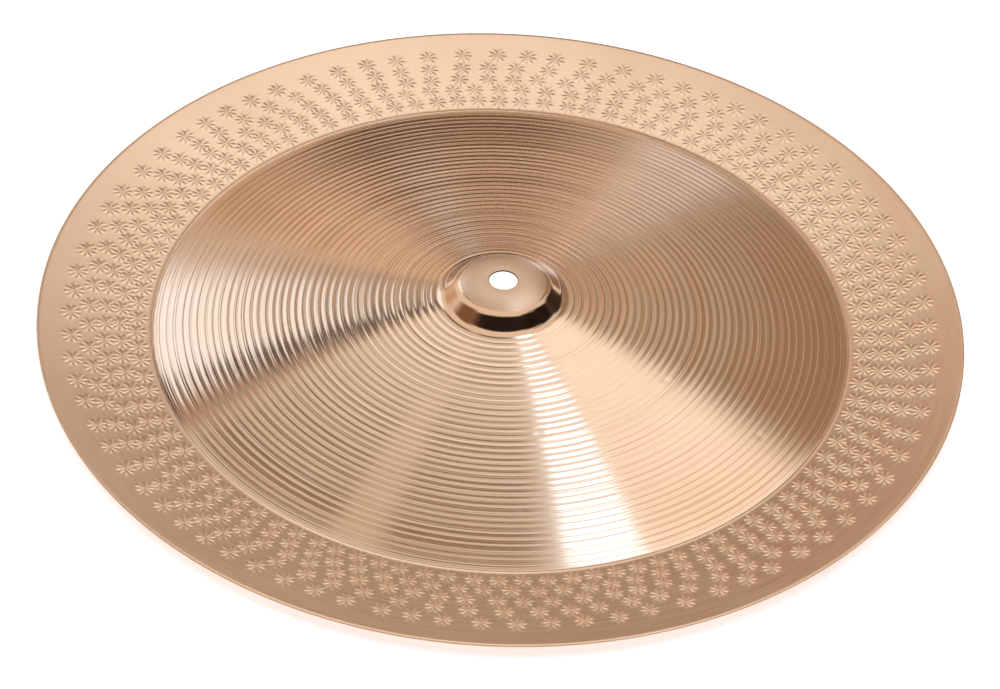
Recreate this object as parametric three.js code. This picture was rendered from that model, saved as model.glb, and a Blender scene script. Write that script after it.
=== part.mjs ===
// China cymbal: one disc of bronze with a low domed bell, a shallow bow, a crease
// and a flange that turns up to the rim. Millimetres, +Z up. The origin is on the axis,
// level with the underside of the crease, which is what the cymbal lies on.

import * as THREE from 'three';

// Driving dimensions
const cymbalDiameter = 457.2;
const sheetThickness = 0.9;
const holeDiameter = 14;
const bellFootDiameter = 66;
const bellHeight = 10.3;
const bellSeatDiameter = 19;
const bellSkirtWidth = 11; // from the crown's edge out to the foot
const bellCrownLean = THREE.MathUtils.degToRad(19.2); // slope that the crown ends with
const bellShoulderBend = 7;
const bellFootBend = 8;
const bowHeight = 23.2;
const bowCrown = 1.1;
const creaseDiameter = 345;
const creaseBend = 20;
const flangeHeight = 6;

// How finely the round stretches are drawn
const turnSteps = 72;
const crownSteps = 3;
const shoulderSteps = 4;
const footSteps = 4;
const bowSteps = 6;
const creaseSteps = 3;
const flangeSteps = 2;
const rimSteps = 4;

const bronze = { color: 0xd3a283, roughness: 0.32, metalness: 1 };

// Angle below which a line leaves a far point to run into a bend that lies flat at its
// lowest place. Run and rise go from there to the far point. The line may meet the bend
// with a lean, because the stretch drawn along it is itself slightly arched.
function slopeIntoBend(run, rise, bend, lean) {
  const reach = Math.hypot(run, rise - bend);
  return Math.atan2(rise - bend, run) + Math.asin((bend * Math.cos(lean)) / reach);
}

// Points on the sheet's upper face are kept with the slope of the face there, positive
// where it falls away from the axis, so that the lower face can be set off square to it.
function facePoint(radius, height, slope) {
  return { radius, height, slope };
}

// The centre that a bend turns about
function bendCentre({ radius, height, slope }, bend) {
  return { radius: radius + bend * Math.sin(slope), height: height + bend * Math.cos(slope) };
}

// One round stretch, from a start point to the slope it ends with. A positive bend is
// hollow above and a negative one is crowned.
function bendTo(start, endSlope, bend, steps) {
  const centre = bendCentre(start, bend);
  const points = [];
  for (let step = 1; step <= steps; step += 1) {
    const slope = THREE.MathUtils.lerp(start.slope, endSlope, step / steps);
    const radius = centre.radius - bend * Math.sin(slope);
    const height = centre.height - bend * Math.cos(slope);
    points.push(facePoint(radius, height, slope));
  }
  return points;
}

// Slope of the straight wall that leaves a crowned bend and runs into a hollow one
function wallBetweenBends(crownedCentre, hollowCentre, bendSum) {
  const width = hollowCentre.radius - crownedCentre.radius;
  const drop = crownedCentre.height - hollowCentre.height;
  return Math.atan2(drop, width) + Math.asin(bendSum / Math.hypot(width, drop));
}

// The upper face from the hole to the rim, in a section through the axis
function upperFace() {
  const creaseRadius = creaseDiameter / 2;
  const footRadius = bellFootDiameter / 2;
  const rimRoundRadius = cymbalDiameter / 2 - sheetThickness / 2;

  // The bow is an arc: its two ends slope by half the arc's turn less and more than its chord
  const bowWidth = creaseRadius - footRadius;
  const bowLean = 2 * Math.atan((2 * bowCrown) / Math.hypot(bowWidth, bowHeight));
  const chordSlope = slopeIntoBend(bowWidth, bowHeight, creaseBend, bowLean);
  const bowInnerSlope = chordSlope - bowLean;
  const bowOuterSlope = chordSlope + bowLean;
  const flangeSlope = slopeIntoBend(rimRoundRadius - creaseRadius, flangeHeight, creaseBend, 0);

  // The bell: a flat ring round the hole, a crown that falls from it, a tighter shoulder,
  // a straight wall and the hollow bend at its foot, which is drawn inwards
  const footTop = sheetThickness + bowHeight;
  const bellTop = footTop + bellHeight;
  const seatRadius = bellSeatDiameter / 2;
  const crownBend = (footRadius - bellSkirtWidth - seatRadius) / Math.sin(bellCrownLean);
  const seatEdge = facePoint(seatRadius, bellTop, 0);
  const crownArc = bendTo(seatEdge, bellCrownLean, -crownBend, crownSteps);
  const crownEnd = crownArc.at(-1);
  const foot = facePoint(footRadius, footTop, bowInnerSlope);
  const wallSlope = wallBetweenBends(
    bendCentre(crownEnd, -bellShoulderBend),
    bendCentre(foot, bellFootBend),
    bellShoulderBend + bellFootBend,
  );
  const shoulderArc = bendTo(crownEnd, wallSlope, -bellShoulderBend, shoulderSteps);
  const footArc = bendTo(foot, wallSlope, bellFootBend, footSteps).reverse();
  const holeEdge = facePoint(holeDiameter / 2, bellTop, 0);
  const bell = [holeEdge, seatEdge, ...crownArc, ...shoulderArc, ...footArc, foot];

  // The bow and the crease, drawn outwards
  const bowBend = Math.hypot(bowWidth, bowHeight) / (2 * Math.sin(bowLean));
  const bow = bendTo(foot, bowOuterSlope, -bowBend, bowSteps);
  const creaseStart = facePoint(
    creaseRadius - creaseBend * Math.sin(bowOuterSlope),
    sheetThickness + creaseBend * (1 - Math.cos(bowOuterSlope)),
    bowOuterSlope,
  );
  const bowStretch = fitEnd(foot, bow, creaseStart);
  const crease = [
    ...bendTo(creaseStart, 0, creaseBend, creaseSteps),
    ...bendTo(facePoint(creaseRadius, sheetThickness, 0), -flangeSlope, creaseBend, creaseSteps),
  ];

  // The flange, straight from the crease to where the rim's rounding begins
  const flangeStart = crease.at(-1);
  const flangeEndRadius = rimRoundRadius - (sheetThickness / 2) * Math.sin(flangeSlope);
  const flange = [];
  for (let step = 1; step <= flangeSteps; step += 1) {
    const radius = THREE.MathUtils.lerp(flangeStart.radius, flangeEndRadius, step / flangeSteps);
    const height = flangeStart.height + (radius - flangeStart.radius) * Math.tan(flangeSlope);
    flange.push(facePoint(radius, height, -flangeSlope));
  }
  return [...bell, ...bowStretch, ...crease, ...flange];
}

// The bow's arc is stretched by the little that its own chord differs from the one that
// really joins the bell's foot to the crease
function fitEnd(start, stretch, target) {
  const end = stretch.at(-1);
  const radiusScale = (target.radius - start.radius) / (end.radius - start.radius);
  const heightScale = (target.height - start.height) / (end.height - start.height);
  return stretch.map(({ radius, height, slope }) => facePoint(
    start.radius + (radius - start.radius) * radiusScale,
    start.height + (height - start.height) * heightScale,
    slope,
  ));
}

// The lower face lies one sheet thickness below the upper one, square to it
function lowerFace(upper) {
  return upper.map(({ radius, height, slope }) => facePoint(
    radius - sheetThickness * Math.sin(slope),
    height - sheetThickness * Math.cos(slope),
    slope,
  ));
}

// Half round that joins the lower face to the upper one at the rim
function rimRound(upperEnd) {
  const half = sheetThickness / 2;
  const centreRadius = upperEnd.radius - half * Math.sin(upperEnd.slope);
  const centreHeight = upperEnd.height - half * Math.cos(upperEnd.slope);
  const points = [];
  for (let step = 1; step < rimSteps; step += 1) {
    const angle = (Math.PI * step) / rimSteps - Math.PI / 2 - upperEnd.slope;
    points.push({
      radius: centreRadius + half * Math.cos(angle),
      height: centreHeight + half * Math.sin(angle),
    });
  }
  return points;
}

function cymbalGeometry() {
  const upper = upperFace();
  const section = [...lowerFace(upper), ...rimRound(upper.at(-1)), ...[...upper].reverse()];
  const outline = [...section, section[0]].map((point) => new THREE.Vector2(point.radius, point.height));
  const geometry = new THREE.LatheGeometry(outline, turnSteps);
  geometry.rotateX(Math.PI / 2);
  return geometry;
}

const chinaCymbal = new THREE.Group();
const cymbal = new THREE.Mesh(cymbalGeometry(), new THREE.MeshStandardMaterial(bronze));
cymbal.name = 'cymbal';
chinaCymbal.add(cymbal);

export default chinaCymbal;
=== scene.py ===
import math

import bpy
import numpy as np
from mathutils import Matrix, Vector


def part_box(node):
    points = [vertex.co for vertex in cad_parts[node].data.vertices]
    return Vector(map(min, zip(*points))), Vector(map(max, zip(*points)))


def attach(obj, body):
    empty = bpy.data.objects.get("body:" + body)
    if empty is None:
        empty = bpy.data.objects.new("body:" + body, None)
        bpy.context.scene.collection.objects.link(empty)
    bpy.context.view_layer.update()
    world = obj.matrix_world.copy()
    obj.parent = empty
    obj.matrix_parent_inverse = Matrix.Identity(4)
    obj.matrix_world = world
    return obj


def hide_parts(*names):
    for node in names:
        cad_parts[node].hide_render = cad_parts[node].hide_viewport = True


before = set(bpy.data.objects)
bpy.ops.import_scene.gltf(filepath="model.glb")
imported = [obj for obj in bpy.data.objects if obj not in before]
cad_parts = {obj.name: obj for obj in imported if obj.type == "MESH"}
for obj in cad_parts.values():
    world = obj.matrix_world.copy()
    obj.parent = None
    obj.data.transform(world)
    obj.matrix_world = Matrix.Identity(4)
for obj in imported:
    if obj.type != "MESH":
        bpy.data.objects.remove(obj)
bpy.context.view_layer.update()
print("frame loaded:", ", ".join(sorted(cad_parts)))

millimetre = 0.001
cadLow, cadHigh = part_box("cymbal")

# The sheet's section in millimetres; the rim and the top of the bell come from the frame
sheetShape = {
    "rimRadius": (cadHigh.x - cadLow.x) / 2 / millimetre,
    "topHeight": cadHigh.z / millimetre,
    "thickness": 0.9,
    "holeRadius": 7,
    "holeEdgeRound": 0.3,
    "seatRadius": 9.5,
    "crownRadius": 20.8,
    "crownBend": 37,
    "shoulderBend": 8.5,
    "footBend": 8,
    "footRadius": 33,
    "bellHeight": 10.3,
    "bowCrown": 1.1,
    "creaseRadius": 172.5,
    "creaseBend": 20,
    "flangeHeight": 6,
}

# Turning marks of the lathe on the bow: rounded ridges with finer ones over them, in millimetres
latheRings = {
    "innerRadius": 34.6,
    "outerRadius": 169,
    "pitch": 3.7,
    "pitchSpread": 0.07,          # share of the pitch
    "innerDepth": 0.12,
    "outerDepth": 0.085,
    "finePitch": 1.67,
    "fineDepth": 0.02,
    "stopRadius": 171.2,          # the groove where the turning tool stops
    "stopHalfWidth": 0.9,
    "stopDepth": 0.08,
    "underDepthShare": 0.6,
    "unevenShares": (0.75, 1.2),  # least and greatest share of the depth in single rings
    "unevenFineShares": (0.2, 1.5),
    "seed": 41,
}

# Stars struck into the flange in rows, in millimetres: low bumps, each with petals between
# creases that cross in its middle
hammerMarks = {
    "rowRadii": (179.3, 187.2, 194.9, 202.8, 211.8),
    "marksPerRow": (100, 97, 93, 83, 81),
    "radius": 5.8,
    "claimReach": 12,             # a star is looked for within this distance of a point
    "petals": 8,
    "bumpHeight": 0.08,
    "creaseDepth": 0.125,
    "petalRise": 0.06,
    "fadeFrom": 0.45,             # share of the radius where a mark starts to fade out
    "turnSpread": math.radians(5),
    "alongSpread": 0.13,          # share of the spacing
    "acrossSpread": 0.45,
    "heightSpread": 0.18,
    "underShare": 0.5,            # how much of a bump shows through on the lower face
    "seed": 7,
}

# How finely the faces are divided: ring spacing in millimetres and points per turn
meshGrid = {
    "bellStep": 0.45,
    "bowStep": 0.36,
    "creaseStep": 0.5,
    "markStep": 1.3,
    "edgeStep": 1.4,
    "underStep": 1.0,
    "plainTurn": 96,
    "edgeTurn": 192,
    "markTurn": 960,
    "markMargin": 5.2,
    "bowOverrun": 3,              # the bow's spacing goes on this far past its last ring
    "rimSteps": 8,
    "holeSteps": 8,
    "bendSteps": 40,              # points along each bend of the section
    "bowSteps": 60,               # and along its bow
}


def hexToLinear(code):
    # sRGB hex to the linear values that shaders take
    values = [int(code[place:place + 2], 16) / 255 for place in (1, 3, 5)]
    linear = [value / 12.92 if value <= 0.04045 else ((value + 0.055) / 1.055) ** 2.4
              for value in values]
    return (*linear, 1)


# The sheet's section

def bendCentre(point, bend):
    radius, height, slope = point
    return radius + bend * math.sin(slope), height + bend * math.cos(slope)


def bendTo(points, endSlope, bend):
    # a round stretch from the last point to a slope; slopes are positive where the face
    # falls outwards, and a negative bend is crowned
    centreRadius, centreHeight = bendCentre(points[-1], bend)
    slope, steps = points[-1][2], meshGrid["bendSteps"]
    for step in range(1, steps + 1):
        turned = slope + (endSlope - slope) * step / steps
        radius = centreRadius - bend * math.sin(turned)
        points.append((radius, centreHeight - bend * math.cos(turned), turned))


def slopeIntoBend(run, rise, bend, lean):
    # angle of a line from a far point into a bend that lies flat at its lowest place
    distance = math.hypot(run, rise - bend)
    return math.atan2(rise - bend, run) + math.asin(bend * math.cos(lean) / distance)


def upperSection():
    shape = sheetShape
    footHeight = shape["topHeight"] - shape["bellHeight"]
    bowWidth = shape["creaseRadius"] - shape["footRadius"]
    bowHeight = footHeight - shape["thickness"]
    lean = 2 * math.atan(2 * shape["bowCrown"] / math.hypot(bowWidth, bowHeight))
    chord = slopeIntoBend(bowWidth, bowHeight, shape["creaseBend"], lean)
    innerSlope, outerSlope = chord - lean, chord + lean
    rimEnd = shape["rimRadius"] - shape["thickness"] / 2
    flangeWidth = rimEnd - shape["creaseRadius"]
    flangeSlope = slopeIntoBend(flangeWidth, shape["flangeHeight"], shape["creaseBend"], 0)

    # the bell: flat round the hole, then crown, shoulder, straight wall and the bend at its foot
    bell = [(shape["holeRadius"], shape["topHeight"], 0), (shape["seatRadius"], shape["topHeight"], 0)]
    crownSlope = math.asin((shape["crownRadius"] - shape["seatRadius"]) / shape["crownBend"])
    bendTo(bell, crownSlope, -shape["crownBend"])
    shoulder = bendCentre(bell[-1], -shape["shoulderBend"])
    foot = [(shape["footRadius"], footHeight, innerSlope)]
    hollow = bendCentre(foot[0], shape["footBend"])
    width, drop = hollow[0] - shoulder[0], shoulder[1] - hollow[1]
    bends = shape["shoulderBend"] + shape["footBend"]
    wallSlope = math.atan2(drop, width) + math.asin(bends / math.hypot(width, drop))
    bendTo(bell, wallSlope, -shape["shoulderBend"])
    bendTo(foot, wallSlope, shape["footBend"])

    outer = [(shape["footRadius"], footHeight, innerSlope)]
    bendStart = (
        shape["creaseRadius"] - shape["creaseBend"] * math.sin(outerSlope),
        shape["thickness"] + shape["creaseBend"] * (1 - math.cos(outerSlope)),
        outerSlope,
    )
    bowSteps = meshGrid["bowSteps"]
    for step in range(1, bowSteps):  # the bow, slightly crowned over its chord
        share = step / bowSteps
        along = outer[0][0] + (bendStart[0] - outer[0][0]) * share
        chordHeight = outer[0][1] + (bendStart[1] - outer[0][1]) * share
        crown = 4 * shape["bowCrown"] * share * (1 - share)
        outer.append((along, chordHeight + crown, innerSlope + (outerSlope - innerSlope) * share))
    outer.append(bendStart)
    bendTo(outer, -flangeSlope, shape["creaseBend"])
    flangeEnd = rimEnd - shape["thickness"] / 2 * math.sin(flangeSlope)
    flangeRise = (flangeEnd - outer[-1][0]) * math.tan(flangeSlope)
    outer.append((flangeEnd, outer[-1][1] + flangeRise, -flangeSlope))
    return np.array(bell + foot[:0:-1] + outer)


# Relief on top of the section

def scallops(radii, edges, depth):
    # rounded ridges and hollows, one to each stretch between edges
    place = np.searchsorted(edges, radii, side="right") - 1
    place = np.clip(place, 0, len(edges) - 2)
    share = (radii - edges[place]) / (edges[place + 1] - edges[place])
    inside = (radii >= edges[0]) & (radii <= edges[-1])
    return np.where(inside, depth * np.cos(2 * math.pi * share) / 2, 0)


def ringEdges(pitch, draw):
    rings = latheRings
    edges = [rings["innerRadius"]]
    while edges[-1] < rings["outerRadius"]:
        edges.append(edges[-1] + pitch * (1 + rings["pitchSpread"] * draw.uniform(-1, 1)))
    return np.array(edges)


def ringRelief(radii):
    rings = latheRings
    draw = np.random.default_rng(rings["seed"])
    coarse, fine = ringEdges(rings["pitch"], draw), ringEdges(rings["finePitch"], draw)
    span = rings["outerRadius"] - rings["innerRadius"]
    share = np.clip((radii - rings["innerRadius"]) / span, 0, 1)
    depth = rings["innerDepth"] + (rings["outerDepth"] - rings["innerDepth"]) * share
    uneven = np.interp(radii, coarse, draw.uniform(*rings["unevenShares"], len(coarse)))
    unevenFine = np.interp(radii, fine, draw.uniform(*rings["unevenFineShares"], len(fine)))
    fromStop = np.abs(radii - rings["stopRadius"]) / rings["stopHalfWidth"]
    stop = rings["stopDepth"] * np.clip(1 - fromStop, 0, 1)
    relief = scallops(radii, coarse, depth * uneven)
    return relief + scallops(radii, fine, rings["fineDepth"] * unevenFine) - stop


def placeStars():
    # one line per star: distance from the axis, angle, turn of its petals and share of the height
    marks = hammerMarks
    draw = np.random.default_rng(marks["seed"])
    stars = []
    for row, number in zip(marks["rowRadii"], marks["marksPerRow"]):
        spacing = 1 + marks["alongSpread"] * draw.uniform(-1, 1, number)
        middles = np.cumsum(spacing) / spacing.sum() * 2 * math.pi + draw.uniform(0, 1)
        for middle in middles:
            radius = row + marks["acrossSpread"] * draw.uniform(-1, 1)
            turn = marks["turnSpread"] * draw.uniform(-1, 1)
            share = 1 + marks["heightSpread"] * draw.uniform(-1, 1)
            stars.append((radius, middle % (2 * math.pi), turn, share))
    return np.array(stars)


def nearestStar(radii, angles, stars):
    # which star each point belongs to, with its place inside that star across and along
    # the row, as shares of the mark's radius
    claim = hammerMarks["claimReach"]
    best = np.zeros(len(radii), dtype=int)
    reach = np.full(len(radii), np.inf)
    across, along = np.zeros(len(radii)), np.zeros(len(radii))
    for place, (radius, middle) in enumerate(stars[:, :2]):
        away = np.mod(angles - middle + math.pi, 2 * math.pi) - math.pi
        near = np.nonzero((np.abs(radii - radius) < claim) & (np.abs(away) * radius < claim))[0]
        out = (radii[near] - radius) / hammerMarks["radius"]
        onward = away[near] * radii[near] / hammerMarks["radius"]
        distance = np.hypot(out, onward)
        closer = distance < reach[near]
        near = near[closer]
        best[near], reach[near] = place, distance[closer]
        across[near], along[near] = out[closer], onward[closer]
    return best, across, along


def bumpRelief(radii, angles, stars):
    # the low bumps under the stars on a grid of rings and angles
    gridRadii, gridAngles = np.meshgrid(radii, angles, indexing="ij")
    best, across, along = nearestStar(gridRadii.ravel(), gridAngles.ravel(), stars)
    fade = np.clip(1 - (across ** 2 + along ** 2), 0, 1)
    return (hammerMarks["bumpHeight"] * stars[best, 3] * fade ** 2).reshape(gridRadii.shape)


# The mesh: rings of points from the hole over the rim and back, each ring with its own
# number of points, so that only the struck part of the flange is finely divided

def stepped(start, end, step):
    return np.linspace(start, end, max(2, int(round(abs(end - start) / step)) + 1))


def sheetRings():
    shape, grid = sheetShape, meshGrid
    section = upperSection()
    markInner = hammerMarks["rowRadii"][0] - grid["markMargin"]
    markOuter = hammerMarks["rowRadii"][-1] + grid["markMargin"]
    flangeEnd = section[-1, 0]
    plain, edgeTurn, fine = grid["plainTurn"], grid["edgeTurn"], grid["markTurn"]
    rings = []  # each with the radius and height of its points and their number

    def addFace(radii, turn, side, relief=None):
        # side 0 is the upper face; side 1 the lower one, a sheet thickness below, square to it
        height, slope = (np.interp(radii, section[:, 0], section[:, column]) for column in (1, 2))
        rise = ringRelief(radii) * (1, -latheRings["underDepthShare"])[side]
        for place, radius in enumerate(radii):
            lift = rise[place] + (np.zeros(turn) if relief is None else relief[place])
            off = lift - side * shape["thickness"]
            tilt = slope[place]
            rings.append((radius + off * math.sin(tilt), height[place] + off * math.cos(tilt), turn))

    footEnd = latheRings["innerRadius"]
    bowEnd = latheRings["outerRadius"] + grid["bowOverrun"]
    upper = [
        (stepped(shape["holeRadius"] + shape["holeEdgeRound"], footEnd, grid["bellStep"]), plain),
        (stepped(footEnd, bowEnd, grid["bowStep"])[1:], plain),
        (stepped(bowEnd, markInner, grid["creaseStep"])[1:], plain),
    ]
    for radii, turn in upper:
        addFace(radii, turn, 0)
    markRadii = stepped(markInner, markOuter, grid["markStep"])
    angles = np.arange(fine) / fine * 2 * math.pi
    relief = bumpRelief(markRadii, angles, placeStars())
    addFace(markRadii[1:-1], fine, 0, relief[1:-1])
    addFace(stepped(markOuter, flangeEnd, grid["edgeStep"]), edgeTurn, 0)

    tilt, half = section[-1, 2], shape["thickness"] / 2
    for step in range(1, grid["rimSteps"]):
        angle = math.pi / 2 - tilt - math.pi * step / grid["rimSteps"]
        radius = flangeEnd - half * math.sin(tilt) + half * math.cos(angle)
        height = section[-1, 1] - half * math.cos(tilt) + half * math.sin(angle)
        rings.append((np.full(edgeTurn, radius), np.full(edgeTurn, height), edgeTurn))

    addFace(stepped(flangeEnd, markOuter, grid["underStep"]), edgeTurn, 1)
    addFace(markRadii[-2:0:-1], fine, 1, relief[-2:0:-1] * hammerMarks["underShare"])
    addFace(stepped(markInner, bowEnd, grid["underStep"]), edgeTurn, 1)
    addFace(stepped(bowEnd, shape["holeRadius"] + shape["holeEdgeRound"], grid["underStep"])[1:], plain, 1)

    edge = shape["holeEdgeRound"]
    for step in range(1, grid["holeSteps"]):  # the hole's edge, its two corners eased
        share = step / grid["holeSteps"]
        side = shape["topHeight"] - shape["thickness"] + shape["thickness"] * share
        fromCorner = min(share, 1 - share) * shape["thickness"]
        ease = edge * (1 - min(1, fromCorner / edge)) ** 2
        rings.append((np.full(plain, shape["holeRadius"] + ease), np.full(plain, side), plain))
    return rings


def joinRings(first, firstCount, second, secondCount):
    # faces between two rings; where one has more points, triangles take up the difference
    faces = []
    if firstCount == secondCount:
        for place in range(firstCount):
            after = (place + 1) % firstCount
            faces.append((first + place, second + place, second + after, first + after))
        return faces
    many, few = (first, second) if firstCount > secondCount else (second, first)
    manyCount, fewCount = max(firstCount, secondCount), min(firstCount, secondCount)
    ratio = manyCount // fewCount
    middle = (ratio + 1) // 2
    for place in range(fewCount):
        near, far = few + place, few + (place + 1) % fewCount
        for step in range(ratio):
            here = many + (place * ratio + step) % manyCount
            there = many + (place * ratio + step + 1) % manyCount
            corner = near if step < middle else far
            faces.append((here, corner, there) if many == first else (here, there, corner))
            if step + 1 == middle:
                faces.append((near, far, there) if many == first else (near, there, far))
    return faces


def buildSheet():
    rings = sheetRings()
    points, starts, counts = [], [], []
    for radius, height, turn in rings:
        angles = np.arange(turn) / turn * 2 * math.pi
        starts.append(sum(counts))
        counts.append(turn)
        level = height * np.ones(turn)
        points.append(np.column_stack((radius * np.cos(angles), radius * np.sin(angles), level)))
    faces = []
    for place in range(len(rings)):
        after = (place + 1) % len(rings)
        faces += joinRings(starts[place], counts[place], starts[after], counts[after])
    mesh = bpy.data.meshes.new("cymbalSheet")
    mesh.from_pydata((np.concatenate(points) * millimetre).tolist(), [], faces)
    mesh.validate()
    mesh.update()
    mesh.shade_smooth()
    return mesh


# Materials

def addNode(tree, kind, settings=None, links=None):
    # one node with its settings, its input values and what feeds its inputs
    node = tree.nodes.new(kind)
    for name, value in (settings or {}).items():
        if isinstance(name, str) and hasattr(node, name):
            setattr(node, name, value)
        else:
            node.inputs[name].default_value = value
    for name, source in (links or {}).items():
        tree.links.new(source, node.inputs[name])
    return node


bronzeLook = {
    "lightTone": "#ddb08c",
    "darkTone": "#d3a580",
    # the hole's cut edge is painted dark, as painted shade
    "cutShadeTone": "#5c4a3c",
    "toneRange": (0.45, 1.05),    # the part of the noise over which the tones change
    "cloudSize": 71.4,            # millimetres, the drifts of tone
    "lathedRoughness": 0.13,
    "lathedStretch": 0.9,
    "satinRoughness": 0.36,
    "hammeredRoughness": 0.2,
    "satinStretch": 0.3,
    "polishedRoughness": 0.13,
    "cutRoughness": 0.5,
    "roughnessSpread": 0.15,      # share of the roughness
    "acrossRings": 0.25,          # turns the stretched highlights square to the rings
    "satinOverlap": 0.4,          # millimetres that the satin goes on past the bell's crown
    "brushLineWidth": 0.5,        # millimetres; real lines are finer, drawn this wide to show
    "brushLineStretch": 6,
    "lathedLineDepth": 0.0015,
    "satinLineDepth": 0.0004,
}

# Grooves that the turning tool left, as bump, in millimetres: spacing, half width and depth
toolGrooves = (
    {"pitch": 3.7, "halfWidth": 0.6, "depth": 0.03, "offset": 0.3},
    {"pitch": 1.3, "halfWidth": 0.4, "depth": 0.014, "offset": 7.7},
)

# How uneven those grooves are: in their spacing, and in their depth from ring to ring
grooveSpread = {
    "spacing": 0.75,
    "width": 1.6,                 # pitches over which the depth changes
    "stretch": 0.8,
    "noiseRange": (0.35, 0.65),
    "shallowest": 0.4,            # share of the depth
}

# Shallow round dents of the hammer on the bow, in millimetres
bowDents = {
    "spacing": 38,
    "spread": 0.8,                # share of the spacing
    "radius": 4,
    "depth": 0.018,
    "innerRadius": 70,
    "outerRadius": 150,
}


def startMaterial(name):
    material = bpy.data.materials.new(name)
    material.use_nodes = True
    tree = material.node_tree
    tree.nodes.clear()
    return material, tree


def axisDistance(tree):
    # distance from the axis in millimetres, and the heading round it as a unit vector
    place = addNode(tree, "ShaderNodeTexCoord").outputs["Object"]
    flat = addNode(tree, "ShaderNodeVectorMath", {"operation": "MULTIPLY", 1: (1, 1, 0)}, {0: place})
    length = addNode(tree, "ShaderNodeVectorMath", {"operation": "LENGTH"}, {0: flat.outputs[0]})
    heading = addNode(tree, "ShaderNodeVectorMath", {"operation": "NORMALIZE"}, {0: flat.outputs[0]})
    radius = addNode(tree, "ShaderNodeMath", {"operation": "DIVIDE", 1: millimetre},
                     {0: length.outputs["Value"]})
    return radius.outputs[0], heading.outputs[0]


def ringedPlace(tree, width, stretch):
    # place for a noise whose grains run in rings: as wide as given and long along them
    radius, heading = axisDistance(tree)
    along = addNode(tree, "ShaderNodeVectorMath", {"operation": "SCALE", "Scale": stretch}, {0: heading})
    split = addNode(tree, "ShaderNodeSeparateXYZ", None, {0: along.outputs[0]})
    across = addNode(tree, "ShaderNodeMath", {"operation": "DIVIDE", 1: width * 2}, {0: radius}).outputs[0]
    return addNode(tree, "ShaderNodeCombineXYZ", None,
                   {0: across, 1: split.outputs[0], 2: split.outputs[1]}).outputs[0]


def toolGrooveHeight(tree):
    coarse, fine = (grooveHeight(tree, groove) for groove in toolGrooves)
    return addNode(tree, "ShaderNodeMath", {"operation": "ADD"}, {0: coarse, 1: fine}).outputs[0]


def grooveHeight(tree, groove):
    # narrow V grooves at uneven spacing, deeper in some rings than in others, in millimetres
    spread = grooveSpread
    radius = axisDistance(tree)[0]
    ring = addNode(tree, "ShaderNodeMath",
                   {"operation": "MULTIPLY_ADD", 1: 1 / groove["pitch"], 2: groove["offset"]}, {0: radius})
    cells = addNode(tree, "ShaderNodeTexVoronoi",
                    {"voronoi_dimensions": "1D", "feature": "DISTANCE_TO_EDGE", "Scale": 1,
                     "Randomness": spread["spacing"]}, {"W": ring.outputs[0]})
    wall = addNode(tree, "ShaderNodeMapRange",
                   {"From Max": groove["halfWidth"] / groove["pitch"], "To Min": 1, "To Max": 0},
                   {"Value": cells.outputs["Distance"]})
    uneven = addNode(tree, "ShaderNodeTexNoise", {"Scale": 1, "Detail": 1},
                     {"Vector": ringedPlace(tree, groove["pitch"] * spread["width"], spread["stretch"])})
    low, high = spread["noiseRange"]
    share = addNode(tree, "ShaderNodeMapRange",
                    {"From Min": low, "From Max": high, "To Min": spread["shallowest"], "To Max": 1},
                    {"Value": uneven.outputs["Fac"]})
    deep = addNode(tree, "ShaderNodeMath", {"operation": "MULTIPLY", 1: -groove["depth"]},
                   {0: share.outputs[0]})
    return addNode(tree, "ShaderNodeMath", {"operation": "MULTIPLY"},
                   {0: wall.outputs[0], 1: deep.outputs[0]}).outputs[0]


def dentHeight(tree):
    # one shallow dent in each cell of the bow, in millimetres
    dents = bowDents
    place = addNode(tree, "ShaderNodeTexCoord").outputs["Object"]
    cells = addNode(tree, "ShaderNodeTexVoronoi",
                    {"voronoi_dimensions": "2D", "Scale": 1 / (dents["spacing"] * millimetre),
                     "Randomness": dents["spread"]}, {"Vector": place})
    height = addNode(tree, "ShaderNodeMapRange",
                     {"interpolation_type": "SMOOTHSTEP", "From Max": dents["radius"] / dents["spacing"],
                      "To Min": -dents["depth"], "To Max": 0}, {"Value": cells.outputs["Distance"]})
    radius = axisDistance(tree)[0]
    for side, limit in (("GREATER_THAN", dents["innerRadius"]), ("LESS_THAN", dents["outerRadius"])):
        inside = addNode(tree, "ShaderNodeMath", {"operation": side, 1: limit}, {0: radius})
        height = addNode(tree, "ShaderNodeMath", {"operation": "MULTIPLY"},
                         {0: height.outputs[0], 1: inside.outputs[0]})
    return height.outputs[0]


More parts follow.
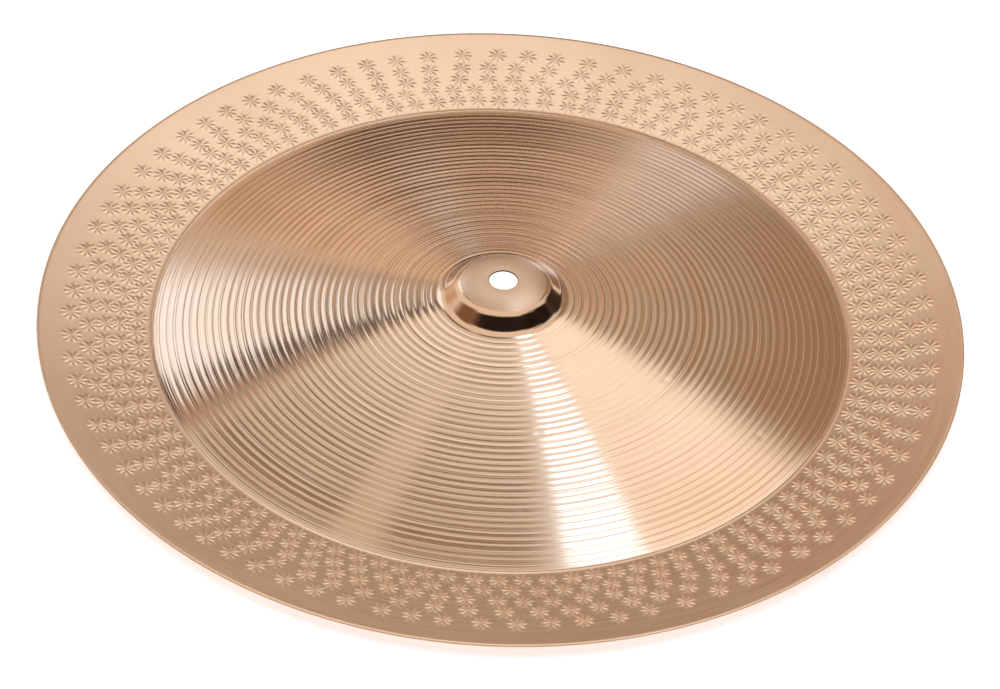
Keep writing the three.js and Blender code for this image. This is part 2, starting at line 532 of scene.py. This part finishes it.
def bronze(name, roughness, stretch, lineDepth, reliefs):
    # Tin bronze, cold rolled and then turned or brushed in rings: a warm metal whose two
    # tones drift along the rings, with highlights drawn out across them
    look = bronzeLook
    material, tree = startMaterial(name)
    place = addNode(tree, "ShaderNodeTexCoord").outputs["Object"]
    cloud = addNode(tree, "ShaderNodeTexNoise",
                    {"Scale": 1 / (look["cloudSize"] * millimetre), "Detail": 3, "Roughness": 0.55},
                    {"Vector": place})
    lines = addNode(tree, "ShaderNodeTexNoise", {"Scale": 1, "Detail": 2, "Roughness": 0.6},
                    {"Vector": ringedPlace(tree, look["brushLineWidth"], look["brushLineStretch"])})
    blend = addNode(tree, "ShaderNodeMath", {"operation": "MULTIPLY_ADD", 1: 0.5},
                    {0: lines.outputs["Fac"], 2: cloud.outputs["Fac"]})
    low, high = look["toneRange"]
    tone = addNode(tree, "ShaderNodeMapRange", {"From Min": low, "From Max": high},
                   {"Value": blend.outputs[0]})
    dark, light = hexToLinear(look["darkTone"]), hexToLinear(look["lightTone"])
    colour = addNode(tree, "ShaderNodeMix", {"data_type": "RGBA", 6: dark, 7: light}, {0: tone.outputs[0]})
    smoother, rougher = (roughness * (1 + side * look["roughnessSpread"]) for side in (-1, 1))
    rough = addNode(tree, "ShaderNodeMapRange", {"To Min": smoother, "To Max": rougher},
                    {"Value": lines.outputs["Fac"]})
    height = addNode(tree, "ShaderNodeMath", {"operation": "MULTIPLY", 1: lineDepth * 2},
                     {0: lines.outputs["Fac"]})
    for relief in reliefs:
        height = addNode(tree, "ShaderNodeMath", {"operation": "ADD"},
                         {0: height.outputs[0], 1: relief(tree)})
    bump = addNode(tree, "ShaderNodeBump", {"Strength": 1, "Distance": millimetre},
                   {"Height": height.outputs[0]})
    radial = addNode(tree, "ShaderNodeTangent", {"direction_type": "RADIAL", "axis": "Z"})
    shader = addNode(
        tree, "ShaderNodeBsdfPrincipled",
        {"Metallic": 1, "Anisotropic": stretch, "Anisotropic Rotation": look["acrossRings"]},
        {"Base Color": colour.outputs[2], "Roughness": rough.outputs[0], "Normal": bump.outputs[0],
         "Tangent": radial.outputs[0]},
    )
    addNode(tree, "ShaderNodeOutputMaterial", None, {"Surface": shader.outputs[0]})
    return material


def cutBronze():
    # Cut edge of the hole, dull and painted dark beside the sheet: painted shade where the hole's edge falls
    # in shadow
    look = bronzeLook
    material, tree = startMaterial("shadedCutBronze")
    shader = addNode(tree, "ShaderNodeBsdfPrincipled",
                     {"Base Color": hexToLinear(look["cutShadeTone"]), "Metallic": 1,
                      "Roughness": look["cutRoughness"]})
    addNode(tree, "ShaderNodeOutputMaterial", None, {"Surface": shader.outputs[0]})
    return material


def markStars(mesh):
    # every corner of a flange face gets its place inside the star that the face belongs to:
    # across, along and the star's share of the height, which the relief in the material needs
    stars = placeStars()
    corners = np.empty(len(mesh.loops), dtype=np.int32)
    mesh.loops.foreach_get("vertex_index", corners)
    points = np.empty(len(mesh.vertices) * 3)
    mesh.vertices.foreach_get("co", points)
    points = points.reshape(-1, 3)[corners] / millimetre
    sizes = np.empty(len(mesh.polygons), dtype=np.int32)
    mesh.polygons.foreach_get("loop_total", sizes)
    centres = np.empty(len(mesh.polygons) * 3)
    mesh.polygons.foreach_get("center", centres)
    centres = centres.reshape(-1, 3) / millimetre
    radii, angles = np.hypot(centres[:, 0], centres[:, 1]), np.arctan2(centres[:, 1], centres[:, 0])
    star = np.repeat(nearestStar(radii, angles, stars)[0], sizes)
    radius, middle, turn, share = stars[star].T
    away = np.mod(np.arctan2(points[:, 1], points[:, 0]) - middle + math.pi, 2 * math.pi) - math.pi
    distance = np.hypot(points[:, 0], points[:, 1])
    across = (distance - radius) / hammerMarks["radius"]
    along = away * distance / hammerMarks["radius"]
    layer = mesh.attributes.new("starPlace", "FLOAT_VECTOR", "CORNER")
    value = np.column_stack((across * np.cos(turn) + along * np.sin(turn),
                             along * np.cos(turn) - across * np.sin(turn), share))
    layer.data.foreach_set("vector", value.ravel())


def starHeight(tree):
    # rounded petals that widen outwards with creases between them, in millimetres; the star
    # fades into the flat sheet
    marks = hammerMarks
    place = addNode(tree, "ShaderNodeAttribute", {"attribute_name": "starPlace"}).outputs["Vector"]
    parts = addNode(tree, "ShaderNodeSeparateXYZ", None, {0: place})
    flat = addNode(tree, "ShaderNodeVectorMath", {"operation": "MULTIPLY", 1: (1, 1, 0)}, {0: place})
    reach = addNode(tree, "ShaderNodeVectorMath", {"operation": "LENGTH"}, {0: flat.outputs[0]})
    reach = reach.outputs["Value"]
    turn = addNode(tree, "ShaderNodeMath", {"operation": "ARCTAN2"},
                   {0: parts.outputs[1], 1: parts.outputs[0]})
    wave = addNode(tree, "ShaderNodeMath", {"operation": "MULTIPLY", 1: marks["petals"] / 2},
                   {0: turn.outputs[0]})
    wave = addNode(tree, "ShaderNodeMath", {"operation": "SINE"}, {0: wave.outputs[0]})
    petal = addNode(tree, "ShaderNodeMath", {"operation": "ABSOLUTE"}, {0: wave.outputs[0]})
    height = addNode(tree, "ShaderNodeMapRange",
                     {"To Min": -marks["creaseDepth"], "To Max": marks["petalRise"]},
                     {"Value": petal.outputs[0]})
    fade = addNode(tree, "ShaderNodeMapRange",
                   {"interpolation_type": "SMOOTHSTEP", "From Min": 1, "From Max": marks["fadeFrom"]},
                   {"Value": reach})
    for share in (reach, fade.outputs[0], parts.outputs[2]):
        height = addNode(tree, "ShaderNodeMath", {"operation": "MULTIPLY"}, {0: height.outputs[0], 1: share})
    return height.outputs[0]


def dressSheet(piece):
    look = bronzeLook
    mesh = piece.data
    markStars(mesh)
    fine, stretch = look["satinLineDepth"], look["satinStretch"]
    # turned: clean cut grooves that spread each light into a fan from the bell to the crease
    lathed = bronze("lathedBronze", look["lathedRoughness"], look["lathedStretch"], look["lathedLineDepth"],
                    [toolGrooveHeight, dentHeight])
    # brushed in rings with fine grit: a soft even sheen without clear reflections
    satin = bronze("satinBronze", look["satinRoughness"], stretch, fine, [])
    # struck after brushing: the same sheet with small glints in the petals
    hammered = bronze("hammeredBronze", look["hammeredRoughness"], stretch, fine, [starHeight])
    # buffed on the bell's wall: reflections with edges, from nearly black to nearly white
    polished = bronze("polishedBronze", look["polishedRoughness"], stretch, fine, [])
    materials = (lathed, satin, hammered, polished, cutBronze())
    for material in materials:
        mesh.materials.append(material)
    centres = np.empty(len(mesh.polygons) * 3)
    mesh.polygons.foreach_get("center", centres)
    centres = centres.reshape(-1, 3) / millimetre
    radius = np.hypot(centres[:, 0], centres[:, 1])
    lathedSlot, satinSlot, hammeredSlot, polishedSlot, cutSlot = range(len(materials))
    slots = np.full(len(radius), lathedSlot, dtype=np.int32)
    slots[radius > sheetShape["creaseRadius"]] = hammeredSlot
    slots[radius < latheRings["innerRadius"]] = polishedSlot
    slots[radius < sheetShape["crownRadius"] + look["satinOverlap"]] = satinSlot
    slots[radius < sheetShape["holeRadius"] + sheetShape["holeEdgeRound"]] = cutSlot
    mesh.polygons.foreach_set("material_index", slots)


# Floor, studio and camera

studio = {
    "floorColour": "#f2f0ee",
    "floorGlow": 0.6,
    "glowDiscRadius": 0.12,           # the board glows full white within this reach under the bow, seen through the hole: painted light over the shade under the cymbal
    "boardHalf": 6,               # metres
    "tentRadius": 1.5,
    "tentSides": 48,
    "tentHoops": 16,
    "tentLevel": 0.5,
    "tentTint": "#fff0e8",
    "squeeze": 0.8,               # tilting a sheet sideways turns its mirrored light less
    "mirrorDip": math.radians(2),  # the middle of the panels lies this far below the mirrored camera
    "skyLevel": 1,
}

# The camera: far off with a long lens, looking down at the cymbal and rolled a little
cameraSetup = {
    "distance": 3.0,
    "height": math.radians(41.384),
    "roll": math.radians(3.08),
    "lens": 219.24,
    "sensorWidth": 36,
    "farthest": 50,
    "aim": (0, -0.00890, 0),
}

# Panels on the inside of a round light tent. They stand round the heading in which a flat
# sheet mirrors the camera: turn goes round it, 0 to the right and 90 away from the camera,
# and reach goes outwards from it, both in degrees with their widths and soft edges. Each
# panel covers those above it, and its level is its brightness.
tentPanels = (
    # the half that the near side mirrors: light, brightest in the middle, lower outside
    {"turn": (270, 180, 16), "reach": (0, 130, 8), "level": 1.35, "tint": "#dbeeff"},
    {"turn": (270, 170, 20), "reach": (8, 12, 3), "level": 2.3, "tint": "#dbeeff"},
    {"turn": (242, 78, 10), "reach": (42, 22, 8), "level": 0.25, "tint": "#ffd4a8"},
    {"turn": (244, 10, 5), "reach": (42, 22, 4), "level": 0.8, "tint": "#ffffff"},
    # the half that the far side mirrors: a light band before a dark one
    {"turn": (90, 180, 12), "reach": (0, 110, 4), "level": 0.5, "tint": "#ffffff"},
    {"turn": (90, 170, 14), "reach": (15.5, 9, 3), "level": 1.25, "tint": "#fff8f0"},
    {"turn": (90, 110, 20), "reach": (10, 7, 3), "level": 0.5, "tint": "#ffffff"},
    {"turn": (117, 16, 8), "reach": (12, 6, 2), "level": 1.6, "tint": "#c1deff"},
    {"turn": (102, 46, 22), "reach": (30, 20, 6), "level": 0.12, "tint": "#ffe4d0"},
    {"turn": (146, 26, 14), "reach": (31, 18, 4), "level": 0.62, "tint": "#fff0e0"},
    {"turn": (161, 16, 10), "reach": (31, 18, 4), "level": 1.1, "tint": "#edf7ff"},
    # right: falls off outwards
    {"turn": (12, 90, 20), "reach": (18, 9, 3), "level": 0.75, "tint": "#edf7ff"},
    {"turn": (12, 90, 20), "reach": (9, 7, 3), "level": 0.8, "tint": "#fff1e3"},
    {"turn": (8, 76, 18), "reach": (34, 25, 6), "level": 0.44, "tint": "#ffedd8"},
    {"turn": (60, 18, 8), "reach": (36, 22, 6), "level": 1.9, "tint": "#cfe5ff"},
    # left: a white fan and a thin flag beside it
    {"turn": (182, 34, 3), "reach": (12, 22, 4), "level": 0.56, "tint": "#ffffff"},
    {"turn": (172, 50, 14), "reach": (9, 7, 3), "level": 0.6, "tint": "#ffffff"},
    {"turn": (182, 31, 6), "reach": (39, 33, 10), "level": 2.9, "tint": "#bfdcff"},
    {"turn": (199.5, 11, 2), "reach": (18, 24, 6), "level": 0.06, "tint": "#ffd8b8"},
    {"turn": (202, 8, 4), "reach": (36, 20, 4), "level": 0.6, "tint": "#fff0e8"},
    # near: a broad box and a narrow white one
    {"turn": (314, 40, 14), "reach": (26, 26, 6), "level": 2.05, "tint": "#dbeeff"},
    {"turn": (314, 40, 14), "reach": (41, 12, 4), "level": 1.1, "tint": "#fff4ea"},
    {"turn": (292.5, 15, 1.2), "reach": (20, 20, 6), "level": 1.6, "tint": "#dcecff"},
    {"turn": (292.5, 15, 1.2), "reach": (40, 30, 6), "level": 5.5, "tint": "#a7cfff"},
    # a flag in the middle, which the near flange mirrors
    {"turn": (60, 220, 60), "reach": (3, 8, 2), "level": 0.27, "tint": "#ffdcc8"},
    {"turn": (60, 361, 1), "reach": (0, 4, 2), "level": 0.48, "tint": "#ffdcc8"},
    # the bell's shoulder and wall look past them: light to the left and near, dark beyond
    {"turn": (235, 160, 12), "reach": (62, 38, 8), "level": 1.3, "tint": "#edf7ff"},
    {"turn": (270, 110, 18), "reach": (92, 22, 5), "level": 0.01, "tint": "#ffd9c0"},
    {"turn": (322, 32, 12), "reach": (82, 15, 5), "level": 0.01, "tint": "#ffd9c0"},
    {"turn": (342, 28, 10), "reach": (72.5, 14, 5), "level": 0.01, "tint": "#ffd9c0"},
    {"turn": (84, 100, 16), "reach": (62, 36, 8), "level": 0.1, "tint": "#ffd9c0"},
    {"turn": (152, 60, 14), "reach": (74, 30, 8), "level": 0.8, "tint": "#ffeedc"},
    {"turn": (208, 34, 20), "reach": (80, 20, 6), "level": 0.28, "tint": "#ffceac"},
    {"turn": (20, 58, 12), "reach": (62, 18, 6), "level": 0.05, "tint": "#ffe6d4"},
    # a broad box low behind the camera, for the other sides
    {"turn": (270, 170, 20), "reach": (127, 44, 6), "level": 1, "tint": "#f6faff"},
)


def buildWorld():
    # white all round, seen past the tent
    world = bpy.data.worlds.new("studio")
    world.use_nodes = True
    tree = world.node_tree
    tree.nodes.clear()
    back = addNode(tree, "ShaderNodeBackground", {"Color": (1, 1, 1, 1), "Strength": studio["skyLevel"]})
    addNode(tree, "ShaderNodeOutputWorld", None, {"Surface": back.outputs[0]})
    bpy.context.scene.world = world


def tentLight(tree):
    # colour of the tent's inside: its own level, then panel over panel with soft edges
    place = addNode(tree, "ShaderNodeTexCoord").outputs["Object"]
    heading = addNode(tree, "ShaderNodeVectorMath", {"operation": "NORMALIZE"}, {0: place}).outputs[0]
    climb = cameraSetup["height"] - studio["mirrorDip"]
    axes = ((1 / studio["squeeze"], 0, 0), (0, math.sin(climb), -math.cos(climb)),
            (0, math.cos(climb), math.sin(climb)))
    parts = [addNode(tree, "ShaderNodeVectorMath", {"operation": "DOT_PRODUCT", 1: axis}, {0: heading})
             for axis in axes]
    right, away, middle = (part.outputs["Value"] for part in parts)
    turn = addNode(tree, "ShaderNodeMath", {"operation": "ARCTAN2"}, {0: away, 1: right}).outputs[0]
    side = addNode(tree, "ShaderNodeCombineXYZ", None, {0: right, 1: away}).outputs[0]
    side = addNode(tree, "ShaderNodeVectorMath", {"operation": "LENGTH"}, {0: side}).outputs["Value"]
    reach = addNode(tree, "ShaderNodeMath", {"operation": "ARCTAN2"}, {0: side, 1: middle}).outputs[0]

    def within(value, window, wrapped):
        # 1 inside a window of a middle, a width and a soft edge in degrees, 0 outside
        centre, width, edge = (math.radians(part) for part in window)
        offset = addNode(tree, "ShaderNodeMath", {"operation": "SUBTRACT", 1: centre}, {0: value}).outputs[0]
        if wrapped:
            offset = addNode(tree, "ShaderNodeMath", {"operation": "WRAP", 1: math.pi, 2: -math.pi},
                             {0: offset}).outputs[0]
        offset = addNode(tree, "ShaderNodeMath", {"operation": "ABSOLUTE"}, {0: offset}).outputs[0]
        return addNode(tree, "ShaderNodeMapRange",
                       {"interpolation_type": "SMOOTHSTEP", "From Min": width / 2 + edge / 2,
                        "From Max": width / 2 - edge / 2}, {"Value": offset}).outputs[0]

    def tinted(tint, level):
        return tuple(part * level for part in hexToLinear(tint)[:3]) + (1,)

    colour = None
    for panel in tentPanels:
        inside = addNode(tree, "ShaderNodeMath", {"operation": "MULTIPLY"},
                         {0: within(turn, panel["turn"], True), 1: within(reach, panel["reach"], False)})
        settings = {"data_type": "RGBA", 7: tinted(panel["tint"], panel["level"])}
        links = {0: inside.outputs[0]}
        if colour is None:
            settings[6] = tinted(studio["tentTint"], studio["tentLevel"])
        else:
            links[6] = colour
        colour = addNode(tree, "ShaderNodeMix", settings, links).outputs[2]
    return colour


def buildTent():
    # Nylon diffuser stretched over hoops: lights the cymbal from within, out of the camera's sight
    radius, sides, hoops = studio["tentRadius"], studio["tentSides"], studio["tentHoops"]
    points, faces = [], []
    for hoop in range(hoops):
        climb = math.pi / 2 * hoop / hoops
        for side in range(sides):
            turn = 2 * math.pi * side / sides
            flat = radius * math.cos(climb)
            points.append((flat * math.cos(turn), flat * math.sin(turn), radius * math.sin(climb)))
    points.append((0, 0, radius))
    for hoop in range(hoops):
        for side in range(sides):
            here, there = hoop * sides + side, hoop * sides + (side + 1) % sides
            if hoop + 1 < hoops:
                faces.append((here, here + sides, there + sides, there))
            else:
                faces.append((here, len(points) - 1, there))
    mesh = bpy.data.meshes.new("lightTent")
    mesh.from_pydata(points, [], faces)
    tent = bpy.data.objects.new("lightTent", mesh)
    bpy.context.scene.collection.objects.link(tent)
    tent.visible_camera = False
    material, tree = startMaterial("tentNylon")
    glow = addNode(tree, "ShaderNodeEmission", {"Strength": 1}, {"Color": tentLight(tree)})
    addNode(tree, "ShaderNodeOutputMaterial", None, {"Surface": glow.outputs[0]})
    material.cycles.emission_sampling = "NONE"
    mesh.materials.append(material)


def buildFloor():
    # Board painted matt white under soft light; a low glow towards the camera and the metal
    # keeps it pale
    mesh = bpy.data.meshes.new("floorBoard")
    half = studio["boardHalf"]
    corners = [(-half, -half, 0), (half, -half, 0), (half, half, 0), (-half, half, 0)]
    mesh.from_pydata(corners, [], [(0, 1, 2, 3)])
    board = bpy.data.objects.new("floorBoard", mesh)
    bpy.context.scene.collection.objects.link(board)
    material, tree = startMaterial("paintedBoard")
    place = addNode(tree, "ShaderNodeTexCoord").outputs["Object"]
    away = addNode(tree, "ShaderNodeVectorMath", {"operation": "LENGTH"}, {0: place})
    # full glow within the disc under the bow: painted light that hides the shade falling there
    glowDisc = addNode(tree, "ShaderNodeMath", {"operation": "LESS_THAN", 1: studio["glowDiscRadius"]},
                   {0: away.outputs["Value"]})
    level = addNode(tree, "ShaderNodeMapRange", {"To Min": studio["floorGlow"], "To Max": 1},
                    {"Value": glowDisc.outputs[0]})
    rays = addNode(tree, "ShaderNodeLightPath")
    seen = addNode(tree, "ShaderNodeMath", {"operation": "MAXIMUM"},
                   {0: rays.outputs["Is Camera Ray"], 1: rays.outputs["Is Glossy Ray"]})
    seen = addNode(tree, "ShaderNodeMath", {"operation": "MAXIMUM"},
                   {0: seen.outputs[0], 1: rays.outputs["Is Transmission Ray"]})
    glow = addNode(tree, "ShaderNodeMath", {"operation": "MULTIPLY"},
                   {0: seen.outputs[0], 1: level.outputs[0]})
    matte = addNode(tree, "ShaderNodeBsdfDiffuse", {"Color": hexToLinear(studio["floorColour"])})
    light = addNode(tree, "ShaderNodeEmission", {"Color": (1, 1, 1, 1)}, {"Strength": glow.outputs[0]})
    both = addNode(tree, "ShaderNodeAddShader", None, {0: matte.outputs[0], 1: light.outputs[0]})
    addNode(tree, "ShaderNodeOutputMaterial", None, {"Surface": both.outputs[0]})
    mesh.materials.append(material)


def buildCamera():
    data = bpy.data.cameras.new("camera")
    data.lens = cameraSetup["lens"]
    data.sensor_width = cameraSetup["sensorWidth"]
    data.clip_end = cameraSetup["farthest"]
    camera = bpy.data.objects.new("camera", data)
    bpy.context.scene.collection.objects.link(camera)
    climb = cameraSetup["height"]
    away = Vector((0, -math.cos(climb), math.sin(climb)))
    place = Vector(cameraSetup["aim"]) + away * cameraSetup["distance"]
    turned = (-away).to_track_quat("-Z", "Y").to_matrix().to_4x4()
    camera.matrix_world = Matrix.Translation(place) @ turned @ Matrix.Rotation(cameraSetup["roll"], 4, "Z")
    bpy.context.scene.camera = camera


bpy.context.scene.view_settings.view_transform = "Standard"
buildWorld()
buildTent()
buildFloor()
buildCamera()
print("studio and camera ready")

sheet = bpy.data.objects.new("cymbalSheet", buildSheet())
bpy.context.scene.collection.objects.link(sheet)
dressSheet(sheet)
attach(sheet, "root")
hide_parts("cymbal")
print("cymbal sheet:", len(sheet.data.vertices), "points,", len(sheet.data.polygons), "faces")
